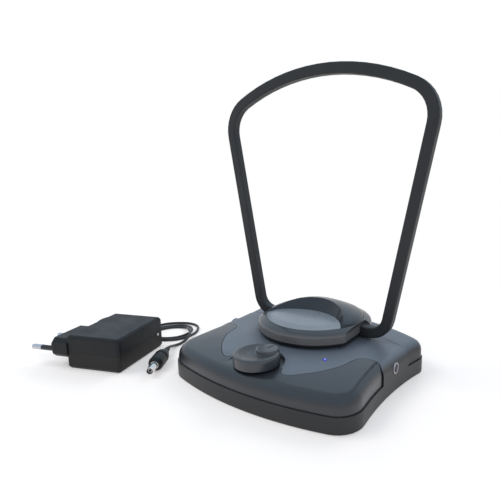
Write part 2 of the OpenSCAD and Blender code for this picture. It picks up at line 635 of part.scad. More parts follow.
// Half of the bar's section with a channel w wide and t deep; s is 1 for the rear half, -1 for the front
channel_w = 3.4;
channel_t = 0.9;
pin_seat = pin_d / 2 + 0.01;
function bar_corner(s, a0) = [for (a = [a0:22.5:a0 + 90])
    [(bar_w / 2 - bar_round) * (a0 < 90 ? 1 : -1) + bar_round * cos(a), s * (bar_t / 2 - bar_round + bar_round * sin(a))]];
function upper_half(s, w, t) = concat([[w, 0], [bar_w / 2, 0]], bar_corner(s, 0), bar_corner(s, 90),
    [[-bar_w / 2, 0], [-w, 0], [-w, s * t], [w, s * t]]);
function half_bar(s, w, t) =
    let(h = upper_half(s, w, t)) s > 0 ? h : [for (i = [len(h) - 1:-1:0]) h[i]];
// A half's end in three: the two sides of the channel and the strip above it
half_caps = [[0, 1, 2, 3, 4, 5, 6, 15], [6, 7, 14, 15], [7, 8, 9, 10, 11, 12, 13, 14]];
module half_shell(s) round_the_loop(
    [[pin_root + 0.3, pivot_z, 0, -1, 0], [pin_root, pivot_z, 0, -1, 1], [foot_x, pivot_z, 0, -1, 1]],
    [half_bar(s, channel_w / 2, channel_t), half_bar(s, pin_seat, pin_seat)],
        s > 0 ? half_caps : [for (c = half_caps) [for (j = [len(c) - 1:-1:0]) 15 - c[j]]]
);
module loop_front_shell() color([0.23, 0.24, 0.25]) half_shell(-1);
module loop_rear_shell() color([0.21, 0.22, 0.23]) half_shell(1);
module loop_conductor() color([0.8, 0.5, 0.3]) {
    w = channel_w / 2 - 0.1;
    t = channel_t - 0.1;
    round_the_loop([[pin_root + 0.3, pivot_z, 0, -1, 0]], [[[w, -t], [w, t], [-w, t], [-w, -t]]]);
}
module pivot_pins() color([0.75, 0.75, 0.77]) for (m = [0, 1]) mirror([m, 0, 0])
    translate([pin_inner, loop_y, pivot_z]) rotate([0, 90, 0]) difference() {
        cylinder(d = pin_d, h = foot_x + pin_in_foot - pin_inner, $fn = 48);
        difference() {
            translate([0, 0, 0.25]) cylinder(d = pin_d + 2, h = 0.6, $fn = 48);
            cylinder(d = pin_d - 0.8, h = 2, $fn = 48);
        }
    }
module pivot_clips() color([0.6, 0.6, 0.62]) for (m = [0, 1]) mirror([m, 0, 0])
    translate([pin_inner + 0.3, loop_y, pivot_z]) rotate([0, 90, 0]) difference() {
        cylinder(d = pin_d + 1.5, h = 0.5, $fn = 48);
        translate([0, 0, -1]) cylinder(d = pin_d - 0.7, h = 3, $fn = 48);
    }
module pivot_washers() color([0.8, 0.8, 0.78]) for (m = [0, 1]) mirror([m, 0, 0])
    translate([flat_x + 0.05, loop_y, pivot_z]) rotate([0, 90, 0]) difference() {
        cylinder(d = pin_d + 2.4, h = 0.3, $fn = 48);
        translate([0, 0, -1]) cylinder(d = pin_d + 0.1, h = 3, $fn = 48);
    }

// Adapter: X runs away from the mains pins, Y along the case
adapter_at = [-103.7, -83.4, 0];
adapter_turn = 20.5;
case_split = 13;
case_wall = 2;
neck_len = 14;
neck_z = 15.4;
neck_h = 15;
neck_y = (mains_pitch + 6) / 2 + 0.2;
neck_w = mains_pitch + 8;
pin_z = 13.2;
relief_x = -adapter_w + 4.3;
relief_z = 9;
relief_len = 9;

module in_adapter() {
    translate(adapter_at) rotate([0, 0, adapter_turn]) children();
}
// Rounded slab of the case, drawn in by d, from z0 to z1
module case_slab(d, z0, z1) {
    r = 3;
    translate([0, 0, z0]) linear_extrude(z1 - z0) polygon([for (k = [0:3], a = [0:30:90])
        let(cx = [-r, r - adapter_w, r - adapter_w, -r][k], cy = [adapter_l - r, adapter_l - r, r, r][k])
        [cx, cy] + (r - d) * dir(90 * k + a)]);
}
module adapter_lower_case() color([0.22, 0.22, 0.23]) in_adapter() difference() {
    hull() {
        case_slab(1.6, 0, 0.1);
        case_slab(0, 2, case_split);
    }
    case_slab(case_wall, case_wall, case_split + 1);
    neck_hole();
    relief_hole();
    translate([1, adapter_l * 0.87, case_split - 0.6]) rotate([0, -90, 0]) cylinder(r = 1.15, h = 10, $fn = 32);
}
module adapter_upper_case() color([0.24, 0.24, 0.26]) in_adapter() difference() {
    hull() {
        case_slab(0, case_split, adapter_h - 2.4);
        case_slab(0.7, case_split, adapter_h - 1);
        case_slab(2.4, case_split, adapter_h);
    }
    case_slab(case_wall, case_split - 1, adapter_h - 2.2);
    neck_hole();
    relief_hole();
    translate([1, adapter_l * 0.87, case_split - 0.6]) rotate([0, -90, 0]) cylinder(r = 1.15, h = 10, $fn = 32);
}
module neck_hole() {
    translate([-adapter_w - 1, neck_y - neck_w / 2 + 2, neck_z - neck_h / 2 + 3])
        cube([case_wall + 2, neck_w - 4, neck_h - 6]);
}
module relief_hole() {
    translate([relief_x, adapter_l + 1, relief_z]) rotate([90, 0, 0]) cylinder(r = 2.2, h = 8, $fn = 48);
}
// Eight-sided section of the neck, drawn in by d
module neck_section(d) {
    w = neck_w / 2 - d;
    h = neck_h / 2 - d;
    c = 3;
    polygon([[w, -h + c], [w, h - c], [w - c, h], [-w + c, h], [-w, h - c], [-w, -h + c], [-w + c, -h], [w - c, -h]]);
}
module adapter_neck() color([0.17, 0.17, 0.18]) in_adapter() difference() {
    translate([-adapter_w, neck_y, neck_z]) {
        rotate([0, -90, 0]) rotate([0, 0, 90]) hull() {
            linear_extrude(neck_len - 3) neck_section(0);
            linear_extrude(neck_len) neck_section(2.2);
        }
        // Root inside the case
        translate([0, -neck_w / 2 + 2.1, -neck_h / 2 + 3.1]) cube([case_wall + 2, neck_w - 4.2, neck_h - 6.2]);
    }
    for (s = [-1, 1]) translate([-adapter_w - neck_len - 1, neck_y + s * mains_pitch / 2, pin_z]) rotate([0, 90, 0])
        cylinder(r = mains_d / 2 - 0.5, h = neck_len + 10, $fn = 48);
}
sleeve_len = 10;
module at_mains_pins() {
    in_adapter() for (s = [-1, 1]) translate([-adapter_w - neck_len, neck_y + s * mains_pitch / 2, pin_z])
        rotate([0, -90, 0]) children();
}
module mains_pins() color([0.8, 0.8, 0.82]) at_mains_pins() {
    translate([0, 0, -neck_len - 3]) cylinder(r = mains_d / 2 - 0.52, h = neck_len + 3 + sleeve_len + e, $fn = 48);
    translate([0, 0, sleeve_len]) rotate_extrude($fn = 48) polygon(concat(
        [[0, 0], [mains_d / 2, 0]],
        [for (a = [0:30:90]) [mains_d / 2 - 1.2 + 1.2 * cos(a), mains_len - sleeve_len - 1.2 + 1.2 * sin(a)]],
        [[0, mains_len - sleeve_len]]
    ));
}
module pin_sleeves() color([0.06, 0.06, 0.06]) at_mains_pins() difference() {
    cylinder(r = mains_d / 2, h = sleeve_len, $fn = 48);
    translate([0, 0, -1]) cylinder(r = mains_d / 2 - 0.5, h = sleeve_len + 2, $fn = 48);
}
module adapter_led() color([0.9, 0.95, 0.9]) in_adapter()
    translate([0.2, adapter_l * 0.87, case_split - 0.6]) rotate([0, -90, 0]) cylinder(r = 1.1, h = 3, $fn = 32);
core_l = 30;
module transformer_core() color([0.4, 0.4, 0.42]) in_adapter() translate([-adapter_w + 6, 4, case_wall]) difference() {
    cube([34, core_l, 20]);
    translate([6, 6, -1]) cube([8, core_l - 12, 22]);
    translate([20, 6, -1]) cube([8, core_l - 12, 22]);
}
module transformer_winding() color([0.7, 0.4, 0.2]) in_adapter() translate([-adapter_w + 6, 4, case_wall + 1]) difference() {
    translate([6.2, 6.2, 0]) cube([21.6, core_l - 12.4, 18]);
    translate([13.8, -1, -1]) cube([6.4, core_l + 2, 20]);
}
module rectifier_board() color([0.5, 0.4, 0.2]) in_adapter() {
    translate([-adapter_w + 8, adapter_l - 19, case_wall]) cube([adapter_w - 12, 13, 1.6]);
    translate([-adapter_w + 20, adapter_l - 12.5, case_wall + 1.6 - e]) cylinder(r = 5, h = 11, $fn = 48);
    translate([-adapter_w + 31, adapter_l - 15, case_wall + 1.6 - e]) cube([6, 3, 4]);
}
module cord_relief() color([0.08, 0.08, 0.085]) in_adapter() translate([relief_x, adapter_l - case_wall - 2, relief_z])
    rotate([-90, 0, 0]) {
        cylinder(r = 2.15, h = case_wall + 2.2, $fn = 48);
        translate([0, 0, case_wall + 2]) cylinder(r1 = 2.6, r2 = 1.8, h = relief_len, $fn = 48);
    }

// Lead
// Rings of a tube that follows points p, with s sides; end headings h0 and h1
function unit(v) = v / norm(v);
function ring_at(c, t, r, s) =
    let(x = unit(cross(t, [0, 0, 1])), y = cross(x, t)) [for (k = [0:s - 1]) c + r * (cos(360 * k / s) * x + sin(360 * k / s) * y)];
module tube(p, d, s, h0, h1) {
    n = len(p);
    skin([for (i = [0:n - 1])
        ring_at(p[i], i == 0 ? unit(h0) : i == n - 1 ? unit(h1) : unit(p[i + 1] - p[i - 1]), d / 2, s)], [[for (k = [0:s - 1]) k]]);
}
function in_adapter_point(q) = adapter_at + [
    q[0] * cos(adapter_turn) - q[1] * sin(adapter_turn), q[0] * sin(adapter_turn) + q[1] * cos(adapter_turn), q[2]];

// Neat coil behind the adapter: spirals in and out in four layers
coil_c = [-186.5, -34];
coil_r = 17.5;
coil_step = 2.9;
coil_turns = 3;
coil_start = 20;
coil_layers = 4;
coil_end_short = 60;
coil_total = coil_layers * coil_turns * 360 - coil_end_short;
function coil_radius(a) =
    let(layer = floor(a / (360 * coil_turns)), f = a - layer * 360 * coil_turns)
    layer % 2 == 0 ? coil_r - coil_step * f / 360 : coil_r - coil_step * (coil_turns - f / 360);
function coil_height(a) =
    let(k = round(a / (360 * coil_turns)), near = a - k * 360 * coil_turns)
    cord_d / 2 + coil_step * (coil_layers - 1 - (k < 1 ? 0 : k > coil_layers - 1 ? coil_layers - 1
        : k - 0.5 + max(-0.5, min(0.5, near / 180))));
function coil_at(a) = [coil_c[0] + coil_radius(a) * cos(coil_start + a), coil_c[1] + coil_radius(a) * sin(coil_start + a),
    coil_height(a)];
coil_in = [-sin(coil_start), cos(coil_start), 0];
coil_out = [-sin(coil_start + coil_total), cos(coil_start + coil_total), 0];
coil_body = [for (i = [0:coil_total / 15]) coil_at(15 * i)];
coil_first = coil_body[0] - cord_d * coil_in;
coil_last = coil_body[len(coil_body) - 1] + cord_d * coil_out;
coil_path = concat([coil_first], coil_body, [coil_last]);
// Least gap between strands, measured between points at least half a turn apart
coil_gap = min([for (i = [0:len(coil_path) - 13], j = [i + 12:len(coil_path) - 1]) norm(coil_path[i] - coil_path[j])]) - cord_d;
echo(coil_gap = coil_gap);

relief_end = in_adapter_point([relief_x, adapter_l + relief_len, relief_z]);
relief_dir = [-sin(adapter_turn), cos(adapter_turn), 0];
module cord_exit() color([0.08, 0.08, 0.085]) tube([
    relief_end, relief_end + cord_d * relief_dir, (relief_end + cord_d * relief_dir + coil_first - 2 * coil_in) / 2,
    coil_first - 2 * coil_in, coil_first
], cord_d, 8, relief_dir, coil_in);
module cord_coil() color([0.08, 0.08, 0.085]) tube(coil_path, cord_d, 6, coil_in, coil_out);

// Loose loops that show beside the adapter, then the run to the plug
low = cord_d / 2;
loose = [
    [-167.5, -37.5, low], [-164.5, -31.5, low], [-163, -24, low], [-163.6, -16, low], [-165, -9, low],
    [-165.2, -3, low], [-163.4, 3, low], [-159.3, 8.5, low], [-153.8, 13, low], [-146.5, 16.8, low],
    [-138.5, 17.6, low], [-131.5, 15.3, low], [-125.8, 10.2, low], [-121.2, 3.4, low], [-119.2, -4.4, low],
    [-119.8, -11.8, low], [-123.4, -18.6, low], [-129.5, -24, low], [-137, -28, low], [-145, -29.2, low],
    [-152.2, -27.2, low], [-157, -21.6, low], [-159, -14.4, low], [-158.8, -7.4, low], [-156.2, -1, low],
    [-151.8, 4.8, low], [-146.4, 9.2, low], [-140, 10.8, low], [-133.8, 9.4, low], [-128.8, 5.4, low],
    [-125.4, -0.6, low], [-124.4, -7.6, low], [-126, -14.2, low], [-130.4, -19.6, low], [-136.4, -23.2, low],
    [-143, -24.2, low], [-149.2, -22.6, low], [-153.4, -17.8, low], [-154.8, -11.6, low], [-153.8, -5.4, low],
    [-150.8, 0, low], [-146.2, 4.2, low], [-140.6, 6.4, low + 0.2], [-135.2, 5.8, 2.2], [-130.6, 3, 3.6],
    [-125.6, -0.4, 4.6], [-120, -4, 4.6], [-115.4, -8.6, 4], [-112.4, -15, 2.4], [-111.2, -22, 1.5],
    [-110.6, -28.4, 2]
];
plug_turn = -55.7;
plug_dir = [cos(plug_turn), sin(plug_turn), 0];
plug_tip = [-80, -75.1, grip_d / 2];
tail_len = 9;
grip_len = 22.5;
plug_tail = plug_tip - plug_dir * (barrel_len + grip_len + tail_len);
module power_cord() color([0.08, 0.08, 0.085]) tube(concat([coil_last, coil_last + cord_d * coil_out],
    curve(loose, 2), [plug_tail - cord_d * plug_dir, plug_tail]), cord_d, 8, coil_out, plug_dir);

// Low-voltage plug, drawn along +Z from its tail
module along_plug() {
    translate(plug_tail) rotate([0, 0, plug_turn]) rotate([0, 90, 0]) children();
}
module plug_grip() color([0.2, 0.2, 0.21]) along_plug() difference() {
    rotate_extrude($fn = 64) polygon([
        [0, 0], [1.8, 0], [2.6, tail_len - 1], [3.6, tail_len - 0.6], [3.9, tail_len + 1.4],
        [4.9, tail_len + 3.4], [grip_d / 2, tail_len + 6.5], [grip_d / 2, tail_len + 8.5],
        [grip_d / 2 - 0.5, tail_len + 9], [grip_d / 2 - 0.5, tail_len + 9.8], [grip_d / 2, tail_len + 10.3],
        [grip_d / 2, tail_len + grip_len - 3], [grip_d / 2 - 0.8, tail_len + grip_len - 1],
        [grip_d / 2 - 2, tail_len + grip_len], [0, tail_len + grip_len]
    ]);
    translate([0, 0, tail_len + grip_len - 6]) cylinder(d = barrel_d + 0.52, h = 10, $fn = 48);
}
module plug_barrel() color([0.82, 0.82, 0.84]) along_plug() translate([0, 0, tail_len + grip_len - 5.9]) difference() {
    union() {
        cylinder(d = barrel_d + 0.5, h = 5.9, $fn = 48);
        translate([0, 0, 5]) cylinder(d = barrel_d - 0.02, h = barrel_len + 0.9, $fn = 48);
    }
    translate([0, 0, 1]) cylinder(d = barrel_d - 0.9, h = 30, $fn = 48);
}
module barrel_insulator() color([0.08, 0.08, 0.08]) along_plug() translate([0, 0, tail_len + grip_len - 4.9]) difference() {
    cylinder(d = barrel_d - 0.92, h = barrel_len + 4.5, $fn = 48);
    translate([0, 0, 1]) cylinder(d = 3.2, h = 30, $fn = 48);
}
module barrel_contact() color([0.85, 0.8, 0.6]) along_plug() translate([0, 0, tail_len + grip_len - 3.9]) difference() {
    cylinder(d = 3.18, h = barrel_len + 2.9, $fn = 48);
    translate([0, 0, 2]) cylinder(d = 2.1, h = 30, $fn = 48);
}

main_housing();
front_cover();
rear_cover();
base_plate();
rubber_feet();
base_screws();
circuit_board();
board_screws();
shield_can();
gain_control();
control_nut();
gain_shaft();
gain_knob();
power_inlet();
inlet_pin();
coax_sleeve();
coax_insulator();
coax_contact();
status_led();
light_pipe();
swivel_washer();
swivel_hub();
swivel_clip();
turntable_ring();
turntable_screws();
turntable_cap();
lens_plate();
contact_springs();
loop_front_shell();
loop_rear_shell();
loop_conductor();
pivot_pins();
pivot_clips();
pivot_washers();
adapter_lower_case();
adapter_upper_case();
adapter_neck();
mains_pins();
pin_sleeves();
adapter_led();
transformer_core();
transformer_winding();
rectifier_board();
cord_relief();
cord_exit();
cord_coil();
power_cord();
plug_grip();
plug_barrel();
barrel_insulator();
barrel_contact();
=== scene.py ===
import json
from math import cos, floor, radians, sin

import bmesh
import bpy
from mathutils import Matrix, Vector

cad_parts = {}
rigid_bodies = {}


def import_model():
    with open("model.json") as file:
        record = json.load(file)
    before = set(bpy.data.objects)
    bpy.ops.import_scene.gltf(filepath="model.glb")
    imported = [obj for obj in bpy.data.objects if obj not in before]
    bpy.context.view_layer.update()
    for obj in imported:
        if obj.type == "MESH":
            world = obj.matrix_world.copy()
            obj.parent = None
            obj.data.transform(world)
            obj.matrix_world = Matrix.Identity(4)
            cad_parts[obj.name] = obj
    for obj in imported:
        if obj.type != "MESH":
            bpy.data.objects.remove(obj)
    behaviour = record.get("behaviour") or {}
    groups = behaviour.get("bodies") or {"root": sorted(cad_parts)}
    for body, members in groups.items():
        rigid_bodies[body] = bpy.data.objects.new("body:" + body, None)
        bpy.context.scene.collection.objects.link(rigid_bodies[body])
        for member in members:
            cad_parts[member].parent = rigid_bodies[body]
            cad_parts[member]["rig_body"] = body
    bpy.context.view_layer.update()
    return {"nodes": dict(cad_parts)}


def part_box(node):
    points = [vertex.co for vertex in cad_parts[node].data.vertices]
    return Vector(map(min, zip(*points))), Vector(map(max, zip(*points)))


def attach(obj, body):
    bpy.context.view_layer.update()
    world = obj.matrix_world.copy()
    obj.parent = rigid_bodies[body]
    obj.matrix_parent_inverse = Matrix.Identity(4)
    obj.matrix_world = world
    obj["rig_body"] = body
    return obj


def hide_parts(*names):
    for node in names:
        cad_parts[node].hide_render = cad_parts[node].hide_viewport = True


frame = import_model()
nodes = frame["nodes"]
mm = 0.001
print("frame loaded:", len(nodes), "nodes")


# camera, at the photograph's viewing angle
view = {
    "place": (0.1746, -0.2490, 0.1431),
    "forward": (-0.5486, 0.8204, -0.1611),
    "lens": 30.48,
    "shift": (-0.119, -0.007),
    "sensor": 36,
    "near": 0.01,
    "far": 20,
}
camData = bpy.data.cameras.new("camera")
camData.sensor_width = view["sensor"]
camData.lens = view["lens"]
camData.shift_x, camData.shift_y = view["shift"]
camData.clip_start = view["near"]
camData.clip_end = view["far"]
cam = bpy.data.objects.new("camera", camData)
bpy.context.scene.collection.objects.link(cam)
cam.location = view["place"]
cam.rotation_euler = Vector(view["forward"]).to_track_quat("-Z", "Y").to_euler()
bpy.context.scene.camera = cam
print("camera placed")


# adapter's own frame, in mm and degrees: x away from the mains pins, y along the case
adapter = {"place": (-103.7, -83.4), "turn": 20.5, "wide": 46.3, "long": 57.0}


def inAdapter(x, y, z):
    t = radians(adapter["turn"])
    atX, atY = adapter["place"]
    return Vector((atX + x * cos(t) - y * sin(t), atY + x * sin(t) + y * cos(t), z))


def alongAdapter(point):
    t = radians(adapter["turn"])
    atX, atY = adapter["place"]
    return (point[0] - atX) * cos(t) + (point[1] - atY) * sin(t)


# the lead, with the same numbers as its solids: coil behind the adapter, two loose loops, run to the plug
lead = {
    "thick": 2.4,
    "reliefX": -42.0,
    "reliefZ": 9.0,
    "reliefLong": 9.0,
    "coilMiddle": (-186.5, -34.0),
    "coilOuter": 17.5,
    "coilStep": 2.9,
    "coilTurns": 3,
    "coilStart": 20.0,
    "coilLayers": 4,
    "coilShort": 60.0,    # degrees left off the last turn
    "plugTip": (-80.0, -75.1, 5.5),
    "plugTurn": -55.7,
    "plugLong": 41.0,
    "pointEvery": 15,    # degrees of the coil between two points
    "looseSteps": 2,    # steps between two of the loose points, along the curve and round the sheath
    "curveSteps": 3,
    "rimSteps": 4,
}


def coilRadius(a):
    turn = 360 * lead["coilTurns"]
    layer = floor(a / turn)
    f = (a - layer * turn) / 360
    inwards = layer % 2 == 0
    return lead["coilOuter"] - lead["coilStep"] * (f if inwards else lead["coilTurns"] - f)


# the lead drops to the next layer over half a turn
def coilHeight(a):
    turn = 360 * lead["coilTurns"]
    lowest = lead["coilLayers"] - 1
    k = floor(a / turn + 0.5)
    if k < 1:
        down = 0
    elif k > lowest:
        down = lowest
    else:
        down = k - 0.5 + max(-0.5, min(0.5, (a - k * turn) / 180))
    return lead["thick"] / 2 + lead["coilStep"] * (lowest - down)


def coilPoint(a):
    t = radians(lead["coilStart"] + a)
    cx, cy = lead["coilMiddle"]
    return Vector((cx + coilRadius(a) * cos(t), cy + coilRadius(a) * sin(t), coilHeight(a)))


def smoothThrough(points, steps):
    out = []
    last = len(points) - 1
    for i in range(last):
        a, b, c, d = points[max(i - 1, 0)], points[i], points[i + 1], points[min(i + 2, last)]
        for k in range(steps):
            t = k / steps
            bend = 2 * a - 5 * b + 4 * c - d
            twist = 3 * b - a - 3 * c + d
            out.append(0.5 * (2 * b + (c - a) * t + bend * t * t + twist * t ** 3))
    return out + [points[last]]


low = lead["thick"] / 2
loosePoints = [Vector(p) for p in [
    (-167.5, -37.5, low), (-164.5, -31.5, low), (-163, -24, low), (-163.6, -16, low), (-165, -9, low),
    (-165.2, -3, low), (-163.4, 3, low), (-159.3, 8.5, low), (-153.8, 13, low), (-146.5, 16.8, low),
    (-138.5, 17.6, low), (-131.5, 15.3, low), (-125.8, 10.2, low), (-121.2, 3.4, low), (-119.2, -4.4, low),
    (-119.8, -11.8, low), (-123.4, -18.6, low), (-129.5, -24, low), (-137, -28, low), (-145, -29.2, low),
    (-152.2, -27.2, low), (-157, -21.6, low), (-159, -14.4, low), (-158.8, -7.4, low), (-156.2, -1, low),
    (-151.8, 4.8, low), (-146.4, 9.2, low), (-140, 10.8, low), (-133.8, 9.4, low), (-128.8, 5.4, low),
    (-125.4, -0.6, low), (-124.4, -7.6, low), (-126, -14.2, low), (-130.4, -19.6, low), (-136.4, -23.2, low),
    (-143, -24.2, low), (-149.2, -22.6, low), (-153.4, -17.8, low), (-154.8, -11.6, low), (-153.8, -5.4, low),
    (-150.8, 0, low), (-146.2, 4.2, low), (-140.6, 6.4, low + 0.2), (-135.2, 5.8, 2.2), (-130.6, 3, 3.6),
    (-125.6, -0.4, 4.6), (-120, -4, 4.6), (-115.4, -8.6, 4), (-112.4, -15, 2.4), (-111.2, -22, 1.5),
    (-110.6, -28.4, 2)]]


def leadRoute():
    thick = lead["thick"]
    reliefEnd = inAdapter(lead["reliefX"], adapter["long"] + lead["reliefLong"], lead["reliefZ"])
    t = radians(adapter["turn"])
    out = Vector((-sin(t), cos(t), 0))
    total = 360 * lead["coilLayers"] * lead["coilTurns"] - lead["coilShort"]
    every = lead["pointEvery"]
    body = [coilPoint(every * i) for i in range(int(total / every) + 1)]
    s = radians(lead["coilStart"])
    e = radians(lead["coilStart"] + total)
    coilIn = Vector((-sin(s), cos(s), 0))
    coilOut = Vector((-sin(e), cos(e), 0))
    first = body[0] - thick * coilIn
    last = body[-1] + thick * coilOut
    start = reliefEnd + thick * out
    before = first - 2 * coilIn
    u = radians(lead["plugTurn"])
    along = Vector((cos(u), sin(u), 0))
    tail = Vector(lead["plugTip"]) - lead["plugLong"] * along
    route = [reliefEnd, start, (start + before) / 2, before, first] + body + [last, last + thick * coilOut]
    return route + smoothThrough(loosePoints, lead["looseSteps"]) + [tail - thick * along, tail]


def makeLead():
    route = [p * mm for p in leadRoute()]
    curve = bpy.data.curves.new("powerLead", "CURVE")
    curve.dimensions = "3D"
    curve.resolution_u = lead["curveSteps"]
    curve.bevel_depth = lead["thick"] / 2 * mm
    curve.bevel_resolution = lead["rimSteps"]
    curve.use_fill_caps = True
    spline = curve.splines.new("BEZIER")
    spline.bezier_points.add(len(route) - 1)
    for p, q in zip(spline.bezier_points, route):
        p.co = q
        p.handle_left_type = "AUTO"
        p.handle_right_type = "AUTO"
    piece = bpy.data.objects.new("powerLead", curve)
    bpy.context.scene.collection.objects.link(piece)
    length = sum((b - a).length for a, b in zip(route, route[1:]))
    print("lead is", round(length, 3), "m long")
    return piece, route, length


powerLead, leadLine, leadLong = makeLead()


# shader writing: wrapped sockets, so that materials read as expressions
class Tap:
    def __init__(self, mat, socket):
        self.mat, self.socket = mat, socket

    def _maths(self, kind, other, swap=False):
        a, b = (other, self) if swap else (self, other)
        return self.mat.node("ShaderNodeMath", {"operation": kind}, {0: a, 1: b})

    def __add__(self, other):
        return self._maths("ADD", other)

    def __radd__(self, other):
        return self._maths("ADD", other, True)

    def __mul__(self, other):
        return self._maths("MULTIPLY", other)

    def __rmul__(self, other):
        return self._maths("MULTIPLY", other, True)

    def __gt__(self, other):
        return self._maths("GREATER_THAN", other)

    def __lt__(self, other):
        return self._maths("LESS_THAN", other)


class Finish:
    def __init__(self, name, **fixed):
        self.material = bpy.data.materials.new(name)
        self.material.use_nodes = True
        self.tree = self.material.node_tree
        self.shader = next(n for n in self.tree.nodes if n.type == "BSDF_PRINCIPLED")
        self.set(self.shader, fixed)
        self.where = self.node("ShaderNodeTexCoord", {}, {}, "Object")

    def set(self, node, values):
        for key, value in values.items():
            socket = node.inputs[key]
            if isinstance(value, Tap):
                self.tree.links.new(value.socket, socket)
            elif isinstance(value, (tuple, list)) and len(value) == 3 and socket.type == "RGBA":
                socket.default_value = (*value, 1)
            else:
                socket.default_value = value

    def node(self, kind, settings, inputs, out=0):
        node = self.tree.nodes.new(kind)
        for key, value in settings.items():
            setattr(node, key, value)
        self.set(node, inputs)
        return Tap(self, node.outputs[out])

    def noise(self, scale, detail=3.0, rough=0.5):
        values = {"Vector": self.where, "Scale": scale, "Detail": detail, "Roughness": rough}
        return self.node("ShaderNodeTexNoise", {}, values)

    def mix(self, amount, a, b):
        return self.node("ShaderNodeMix", {"data_type": "RGBA"}, {0: amount, 6: a, 7: b}, 2)

    # stretches a noise, which stays near 0.5, between two values
    def spread(self, value, low, high):
        values = {"Value": value, "From Min": 0.3, "From Max": 0.7, "To Min": low, "To Max": high}
        return self.node("ShaderNodeMapRange", {}, values)

    def bump(self, height, strength, depth):
        return self.node("ShaderNodeBump", {}, {"Height": height, "Strength": strength, "Distance": depth})

    def drive(self, **links):
        names = {
            "colour": "Base Color",
            "rough": "Roughness",
            "coat": "Coat Weight",
            "normal": "Normal",
            "glow": "Emission Color",
        }
        self.set(self.shader, {names[k]: v for k, v in links.items()})
        return self.material


def tinted(colour, factor):
    return tuple(min(1.0, c * factor) for c in colour)


# scales of the noises that vary a finish, per metre, and what counts as a mote of dust
plastic = {"ior": 1.5, "blotch": 35, "wear": 60, "grain": 2400}
dustMotes = {"scale": 900, "above": 0.72, "colour": (0.35, 0.35, 0.35)}


def moulded(name, colour, rough, grain, depth, strength=0.3, coat=0.0, coatRough=0.04, shine=0.5, dust=0.0):
    fixed = {"Coat Weight": coat, "Coat Roughness": coatRough, "Specular IOR Level": shine}
    f = Finish(name, IOR=plastic["ior"], **fixed)
    blotch = f.noise(plastic["blotch"], 3)
    fine = f.noise(grain, 3, 0.6)
    base = f.mix(f.spread(blotch, 0.0, 1.0), tinted(colour, 0.92), tinted(colour, 1.08))
    if dust:
        motes = f.noise(dustMotes["scale"], 2, 0.7) > dustMotes["above"]
        base = f.mix(motes * dust, base, dustMotes["colour"])
    wear = f.spread(f.noise(plastic["wear"], 4, 0.6), rough * 0.85, rough * 1.15)
    roughness = wear + f.spread(fine, -0.02, 0.02)
    return f.drive(colour=base, rough=roughness, normal=f.bump(fine, strength, depth))


# one moulding painted paler above than on its sides, between the two heights in edge: lit and shaded tones of
# one plastic, painted light and painted reflection
def litAndShadedTones(name, top, side, edge, shine, foot=None):
    f = Finish(name, IOR=plastic["ior"], **{"Coat Roughness": top["coatRough"], "Specular IOR Level": shine})
    z = f.node("ShaderNodeSeparateXYZ", {}, {0: f.where}, 2)
    up = f.node("ShaderNodeMapRange", {"interpolation_type": "SMOOTHSTEP"},
                {"Value": z, "From Min": edge[0] * mm, "From Max": edge[1] * mm})
    blotch = f.spread(f.noise(plastic["blotch"], 3), 0.0, 1.0)
    fine = f.noise(plastic["grain"], 3, 0.6)
    shades = [f.mix(blotch, tinted(part["colour"], 0.93), tinted(part["colour"], 1.07))
              for part in (side, top)]
    colour = f.mix(up, *shades)
    # a black band below a given height: painted shadow
    if foot:
        colour = f.mix(z < foot["below"] * mm, colour, foot["colour"])
    wear = f.spread(f.noise(plastic["wear"], 4, 0.6), -0.03, 0.03)
    rough = side["rough"] + up * (top["rough"] - side["rough"]) + wear
    coat = side["coat"] + up * (top["coat"] - side["coat"])
    return f.drive(colour=colour, rough=rough, coat=coat, normal=f.bump(fine, 0.12, 0.00002))


# noise scales of metal, per metre
plated = {"haze": 120, "scratch": 2200}


def metal(name, colour, rough, brushed):
    f = Finish(name, Metallic=1.0, IOR=1.5)
    haze = f.noise(plated["haze"], 4, 0.6)
    scratch = f.noise(plated["scratch"], 2, 0.7)
    base = f.mix(f.spread(haze, 0.0, 1.0), tinted(colour, 0.93), tinted(colour, 1.05))
    roughness = f.spread(haze, rough * 0.7, rough * 1.3) + f.spread(scratch, -brushed, brushed)
    return f.drive(colour=base, rough=roughness, normal=f.bump(scratch, 0.15 + brushed, 0.00003))


# a circuit board's pattern: cells per metre, and the share of a cell that is a track or a pad
tracks = {"scale": 260.0, "wide": 0.06, "padScale": 330.0, "padWide": 0.16}


def boardFinish(name, colour, track, pad):
    f = Finish(name, IOR=1.5)
    tiles = f.node("ShaderNodeTexVoronoi", {"feature": "DISTANCE_TO_EDGE"},
                   {"Vector": f.where, "Scale": tracks["scale"]}, "Distance")
    lines = tiles < tracks["wide"]
    cells = f.node("ShaderNodeTexVoronoi", {"feature": "F1"},
                   {"Vector": f.where, "Scale": tracks["padScale"]}, "Distance")
    dots = cells < tracks["padWide"]
    base = f.mix(dots, f.mix(lines, colour, track), pad)
    return f.drive(colour=base, rough=f.spread(f.noise(80), 0.3, 0.45), normal=f.bump(lines, 0.3, 0.00004))


# wire turns or core sheets, as level bands
def banded(name, colour, dark, pitch, metallic, waver, detail, rough, relief):
    f = Finish(name, IOR=1.5, Metallic=metallic)
    bands = f.node("ShaderNodeTexWave", {"wave_type": "BANDS", "bands_direction": "Z"},
                   {"Vector": f.where, "Scale": pitch, "Distortion": waver, "Detail": detail}, "Fac")
    return f.drive(colour=f.mix(bands, dark, colour), rough=f.spread(bands, *rough),
                   normal=f.bump(bands, *relief))


# clear plastic of the lamps
clear = {"ior": 1.49, "cloud": 700, "rough": (0.12, 0.18)}


